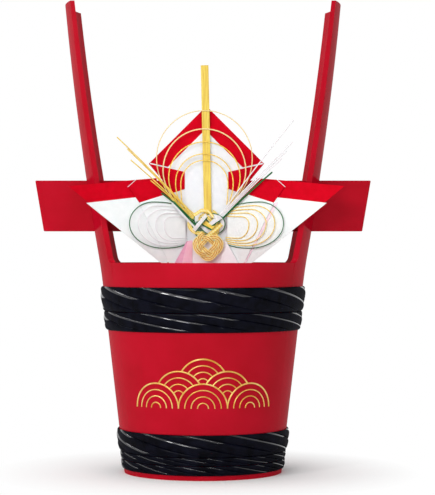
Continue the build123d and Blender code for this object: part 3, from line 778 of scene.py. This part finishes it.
# %% Gold arches
arch_shift, arch_foot, arch_foot_height = -1.9, 20.6, 1.0
arch_foot_depth, arch_reach = 12.15, 1.7
arch_bulges = (17.2, 12.8, 9.2, 4.4, 1.2)
arch_tops = (88.0, 71.0, 59.0, 48.0, 42.0)
arch_thickness = (0.45, 0.6, 0.55, 0.5, 0.5)
arch_lean = arch_reach / (arch_tops[0] - arch_foot_height)
arch_flare, hip_run = Vector((0.62, 0.38)), 0.36
arches = []
for number in range(cord_count):
    bulge = arch_bulges[number]
    width = arch_foot + (cord_count - 1 - number) * cord_pitch + bulge
    spring = arch_tops[number] - arch_foot_height - width
    turns = []
    for side in (-1, 1):
        foot = Vector((side * (width - bulge), 0))
        hip = Vector((side * width, spring))
        leg = [
            (foot, foot, foot + Vector((side * bulge * arch_flare.x, spring * arch_flare.y))),
            (hip - Vector((0, spring * hip_run)), hip, hip + Vector((0, oval * width))),
        ]
        if side < 0:
            top = Vector((0, spring + width))
            turns += leg + [(top - Vector((oval * width, 0)), top, top + Vector((oval * width, 0)))]
        else:
            turns += [tuple(reversed(turn)) for turn in reversed(leg)]
    points = [
        [
            front_place(arch_shift + spot.x, arch_foot_height + spot.y, arch_foot_depth - arch_lean * spot.y)
            for spot in turn
        ]
        for turn in turns
    ]
    cord = pale_gold_cord if number < 2 else gold_cord
    arches.append(bent_cord(f"arch_{number}", points, cord, arch_thickness[number]))
joined("gold_arch_cords", arches, "gold_arches")
print("arches made:", len(arch_tops))

# %% [markdown]
# Both knots are awaji knots: a ribbon of five cords, side by side, goes round three times and passes over and under
# itself at each crossing. One formula gives the ribbon's middle line: while it turns three times, it swells out
# four times, which makes four lobes, and it sways eight times from front to back, once for each crossing. Each
# cord runs beside that line. The gold knot has a wider opening, and it narrows towards its foot.

# %% Awaji knots
knot_wave = 1.2
knot_opening = math.radians(20)
lobes, sways = 4 / 3, 8 / 3
strand_steps, small_turn = 160, 0.01


def ribbon_spot(place, half_width, half_height, bulge, taper, turn):
    swell = (1 + bulge * math.cos(lobes * turn)) / (1 + bulge)
    up = half_height * swell * math.sin(turn)
    across = half_width * swell * math.cos(turn) * (1 + taper * up / half_height)
    return Vector((place[0] + across, -place[1] - knot_wave * math.sin(sways * turn), place[2] + up))


def ribbon_strand(name, knot, offset, share, material):
    """One cord of a knot's ribbon, this far from its middle line, over a share of its way round."""
    first, last = 4.5 * math.pi + knot_opening, 10.5 * math.pi - knot_opening
    line = []
    for step in range(strand_steps + 1):
        way = share[0] + (share[1] - share[0]) * step / strand_steps
        turn = first + (last - first) * way
        ahead = ribbon_spot(*knot, turn + small_turn) - ribbon_spot(*knot, turn - small_turn)
        sideways = ahead.cross(Vector((0, 1, 0))).normalized()
        line.append((ribbon_spot(*knot, turn) + sideways * offset) * millimetre)
    points = [(spot, spot, spot) for spot in line]
    return bent_cord(name, points, material, strand_radius, smoothness=1)


# place, half width, half height, bulge and taper
wide_knot = ((3.2, 11.85, 229.5), 15.4, 12.6, 0.5, 0.0)
gold_knot = ((4.6, 15.95, 209.5), 12.0, 12.0, 0.42, 0.16)
print("knots at", wide_knot[0], "and", gold_knot[0], "mm")

# %% [markdown]
# The wide knot is tied with the ends of the loops, so its cords change colour half way: white on the first half and
# gold on the second, with one green cord at an edge of the ribbon.

# %% Wide knot
strands = []
for number in range(cord_count):
    offset = (number - middle_cord) * strand_pitch
    first_cord = green_cord if number == 0 else white_cord
    # Every other gold cord is the lighter copy, a painted highlight.
    last_cord = green_cord if number == cord_count - 1 else (gold_cord, highlight_gold_cord)[number % 2]
    strands.append(ribbon_strand(f"wide_{number}a", wide_knot, offset, (0, 0.5), first_cord))
    strands.append(ribbon_strand(f"wide_{number}b", wide_knot, offset, (0.5, 1), last_cord))
joined("awaji_knot_cords", strands, "awaji_knot")
print("strands of the wide knot:", len(strands))

# %% [markdown]
# Short stretches of ribbon show where the cords pass over the wide knot. Each one rises out of the knot, goes over it
# and dips back, so a curve of three points is enough: its ends lie deep in the knot and its middle in front of it.

# %% Bands over the wide knot
band_reach, band_slope = 0.3, 0.5


def short_ribbon(name, start, middle, end, cords):
    """Cords side by side that rise over the knot and dip back; each spot is across, up and depth."""
    ribbon = []
    along = Vector((end[0] - start[0], end[1] - start[1])).normalized()
    for number, cord in enumerate(cords):
        beside = Vector((along.y, -along.x)) * (number - (len(cords) - 1) / 2) * strand_pitch
        first, top, last = (
            front_place(across + beside.x, up + beside.y, depth) for across, up, depth in (start, middle, end)
        )
        reach = (last - first) * band_reach
        points = (
            (first, first, first.lerp(top, band_slope)),
            (top - reach, top, top + reach),
            (last.lerp(top, band_slope), last, last),
        )
        ribbon.append(bent_cord(f"{name}_{number}", points, cord, strand_radius))
    return joined(name, ribbon)


white_and_green = (green_cord, white_cord, white_cord, white_cord, white_cord)
green_and_white = (green_cord, green_cord, white_cord, white_cord)
# The lighter gold cords in the middle of the gold bands are a painted highlight.
gold_and_highlight = (gold_cord, highlight_gold_cord, highlight_gold_cord, gold_cord)
bands = (
    ("left_band", (-31.0, 2.9, 19.5), (-19.5, -9.4, 16.6), (-10.5, -19.0, 13.2), green_and_white),
    ("white_right_band", (14.5, -10.3, 12.5), (7.5, -14.9, 15.6), (1.0, -19.2, 12.8), white_and_green),
    ("white_band", (0.5, -8.5, 12.5), (-6.0, -16.5, 16.2), (-12.0, -24.0, 12.5), white_and_green),
    ("gold_band", (14.0, -17.0, 12.5), (8.0, -22.5, 16.2), (1.0, -28.0, 13.5), gold_and_highlight),
    ("gold_top_band", (-11.5, -8.5, 13.0), (-1.5, -4.5, 14.2), (6.5, -10.5, 13.0), gold_and_highlight),
)
for band in bands:
    short_ribbon(*band)
print("bands over the knot:", len(bands))

# %% [markdown]
# The gold knot hangs in front, below the wide one. Its cords are a lighter and a darker gold in turn, painted
# highlight and painted shade, so that each one can be followed through the knot.

# %% Gold knot
gold_highlight_and_shade = (highlight_gold_cord, shade_gold_cord, highlight_gold_cord, shade_gold_cord, highlight_gold_cord)
strands = []
for number, tone in enumerate(gold_highlight_and_shade):
    offset = (number - middle_cord) * strand_pitch
    strands.append(ribbon_strand(f"gold_{number}", gold_knot, offset, (0, 1), tone))
joined("gold_knot_cords", strands, "gold_knot")
print("strands of the gold knot:", len(strands))

# %% [markdown]
# A paper string ties the whole ornament to the crossbar. It goes three times round the bar and the flat papers.

# %% Tie
tie_turns = 3
tie_radius = 0.4
tie_pitch = 0.95
tie_front, tie_back, tie_half_height = 8.3, 6.55, 24.05
turns = []
for number in range(tie_turns):
    across = (number - tie_turns // 2) * tie_pitch
    corners = ((tie_front, 1), (tie_front, -1), (-tie_back, -1), (-tie_back, 1))
    line = [front_place(across, up * tie_half_height, depth) for depth, up in corners]
    points = [(spot, spot, spot) for spot in line]
    turns.append(bent_cord(f"tie_{number}", points, white_cord, tie_radius, closed=True))
joined("paper_string_tie", turns, "ornament_tie")
print("turns of the tie:", tie_turns)

# %% [markdown]
# The front of the cask carries a raised gold drawing of waves, in the old fan pattern: rows of half rings, each row
# half covered by the row below it. Each line is drawn flat, cut where a lower fan covers it, and then laid along the
# cask's wall as a cord that is half sunk in the lacquer.

# %% Gold waves
fan_radius = 22.0
fan_rings = ((1.0, 0.75), (0.74, 0.55), (0.48, 0.55), (0.22, 0.55))
fan_bottom = 65.0
shortest_run = 3
fan_rows = (((-2, 0), (0, 0), (2, 0)), ((-1, 0.5), (1, 0.5)), ((0, 1),))


def on_the_wall(spot):
    """A place on the front of the wall, from a spot across and up on a flat drawing."""
    up = fan_bottom + spot[1]
    radius = base_radius + side_slope * up
    angle = spot[0] / radius
    return Vector((radius * math.sin(angle), -radius * math.cos(angle), up)) * millimetre


def half_ring(middle, radius, covers):
    """The uncovered runs of a half ring, as places on the wall."""
    runs = [[]]
    for degree in range(181):
        angle = math.radians(degree)
        spot = (middle[0] + radius * math.cos(angle), middle[1] + radius * math.sin(angle))
        if any(math.dist(spot, cover) < fan_radius for cover in covers):
            runs.append([])
        else:
            runs[-1].append(on_the_wall(spot))
    return [run for run in runs if len(run) > shortest_run]


lines = []
covers = []
for row in fan_rows:
    middles = [(across * fan_radius, up * fan_radius) for across, up in row]
    for middle in middles:
        for size, line_radius in fan_rings:
            for run in half_ring(middle, size * fan_radius, covers):
                points = [(spot, spot, spot) for spot in run]
                name = f"wave_line_{len(lines)}"
                lines.append(bent_cord(name, points, sprinkled_gold, line_radius, smoothness=1))
    covers += middles
print("wave lines:", len(lines))
joined("gold_wave_lines", lines)

# %% [markdown]
# The studio is a pale floor and a round backdrop. Both are plain white to the camera and to reflections, by a Light
# Path switch, and near the cask the floor turns to matt paint, so that it takes the cask's shadow.

# %% Floor and backdrop
shadow_from, shadow_to = 0.08, 0.2
studio_radius, backdrop_height, studio_sides = 6.0, 2.4, 96

floor_paint, tree, shader = new_material("matt_white_floor", roughness=0.9, specular=0.1)
shader.inputs["Base Color"].default_value = colour("#FCFCFC")
out = tree.nodes["Material Output"]
place = add(tree, "ShaderNodeTexCoord")
away = add(tree, "ShaderNodeVectorMath", {"operation": "LENGTH"}, Vector=(place, "Object"))
near = add(tree, "ShaderNodeMapRange", {"From Min": shadow_from, "From Max": shadow_to}, Value=(away, "Value"))
ray = add(tree, "ShaderNodeLightPath")
seen = add(tree, "ShaderNodeMath", {"operation": "MAXIMUM"})
tree.links.new(ray.outputs["Is Camera Ray"], seen.inputs[0])
tree.links.new(ray.outputs["Is Glossy Ray"], seen.inputs[1])
shown = add(tree, "ShaderNodeMath", {"operation": "MAXIMUM"})
tree.links.new(seen.outputs["Value"], shown.inputs[0])
tree.links.new(ray.outputs["Is Transmission Ray"], shown.inputs[1])
share = add(tree, "ShaderNodeMath", {"operation": "MULTIPLY"})
tree.links.new(shown.outputs["Value"], share.inputs[0])
tree.links.new(near.outputs["Result"], share.inputs[1])
white = add(tree, "ShaderNodeEmission", {"Strength": 1.0})
mix = add(tree, "ShaderNodeMixShader", Fac=(share, "Value"))
tree.links.new(shader.outputs["BSDF"], mix.inputs[1])
tree.links.new(white.outputs["Emission"], mix.inputs[2])
tree.links.new(mix.outputs["Shader"], out.inputs["Surface"])

bpy.ops.object.select_all(action="DESELECT")
bpy.ops.mesh.primitive_circle_add(vertices=studio_sides, radius=studio_radius, fill_type="NGON")
floor = bpy.context.object
floor.name = "studio_floor"
floor.data.materials.append(floor_paint)
bpy.ops.mesh.primitive_cylinder_add(
    vertices=studio_sides,
    radius=studio_radius,
    depth=backdrop_height,
    end_fill_type="NOTHING",
    location=(0, 0, backdrop_height / 2),
)
backdrop = bpy.context.object
backdrop.name = "studio_backdrop"
bpy.ops.object.transform_apply(location=True, rotation=True, scale=True)
backdrop.data.materials.append(floor_paint)
print("studio:", floor.name, backdrop.name)

# %% [markdown]
# One softbox on the left and one in front do most of the work, as in a catalogue picture. Three narrow strips hang
# round the cask, above it, and draw the fine lines on the black hoops. One box above and behind lifts the edges. A
# small box on the right has a narrow beam, which fills only the papers that turn away from the left.

# %% Lamps and world
beam_angle = math.radians(7)
air_light = 0.46


def softbox(name, place, aim, size, power):
    lamp_data = bpy.data.lights.new(name, "AREA")
    lamp_data.shape = "RECTANGLE"
    lamp_data.size, lamp_data.size_y = size
    lamp_data.energy = power
    lamp = bpy.data.objects.new(name, lamp_data)
    scene.collection.objects.link(lamp)
    lamp.location = place
    lamp.rotation_euler = (Vector(aim) - Vector(place)).to_track_quat("-Z", "Y").to_euler()
    return lamp


softbox("key_softbox", (-1.3, -1.7, 1.0), (0, 0, 0.22), (0.3, 0.4), 11.5)
softbox("front_softbox", (-0.7, -2.1, 0.8), (0, 0, 0.22), (0.6, 0.4), 9.0)
softbox("front_strip", (0, -1.4, 1.45), (0, 0, 0.2), (3.0, 0.05), 9.5)
softbox("left_strip", (-1.6, -0.1, 1.4), (0, 0, 0.2), (2.4, 0.05), 5.0)
softbox("right_strip", (1.6, -0.1, 1.4), (0, 0, 0.2), (2.4, 0.05), 1.0)
softbox("top_softbox", (-0.2, 0.3, 1.8), (0, 0, 0.2), (1.0, 0.8), 4.0)
paper_lamp = softbox("paper_softbox", (0.85, -1.75, 0.7), (-0.05, -0.03, 0.225), (0.1, 0.1), 0.012)
paper_lamp.data.spread = beam_angle

world = bpy.data.worlds.new("studio_air")
scene.world = world
world.use_nodes = True
air = world.node_tree.nodes["Background"]
air.inputs["Color"].default_value = (1, 1, 1, 1)
air.inputs["Strength"].default_value = air_light
scene.view_settings.view_transform = "Standard"
print("lamps:", len(bpy.data.lights))
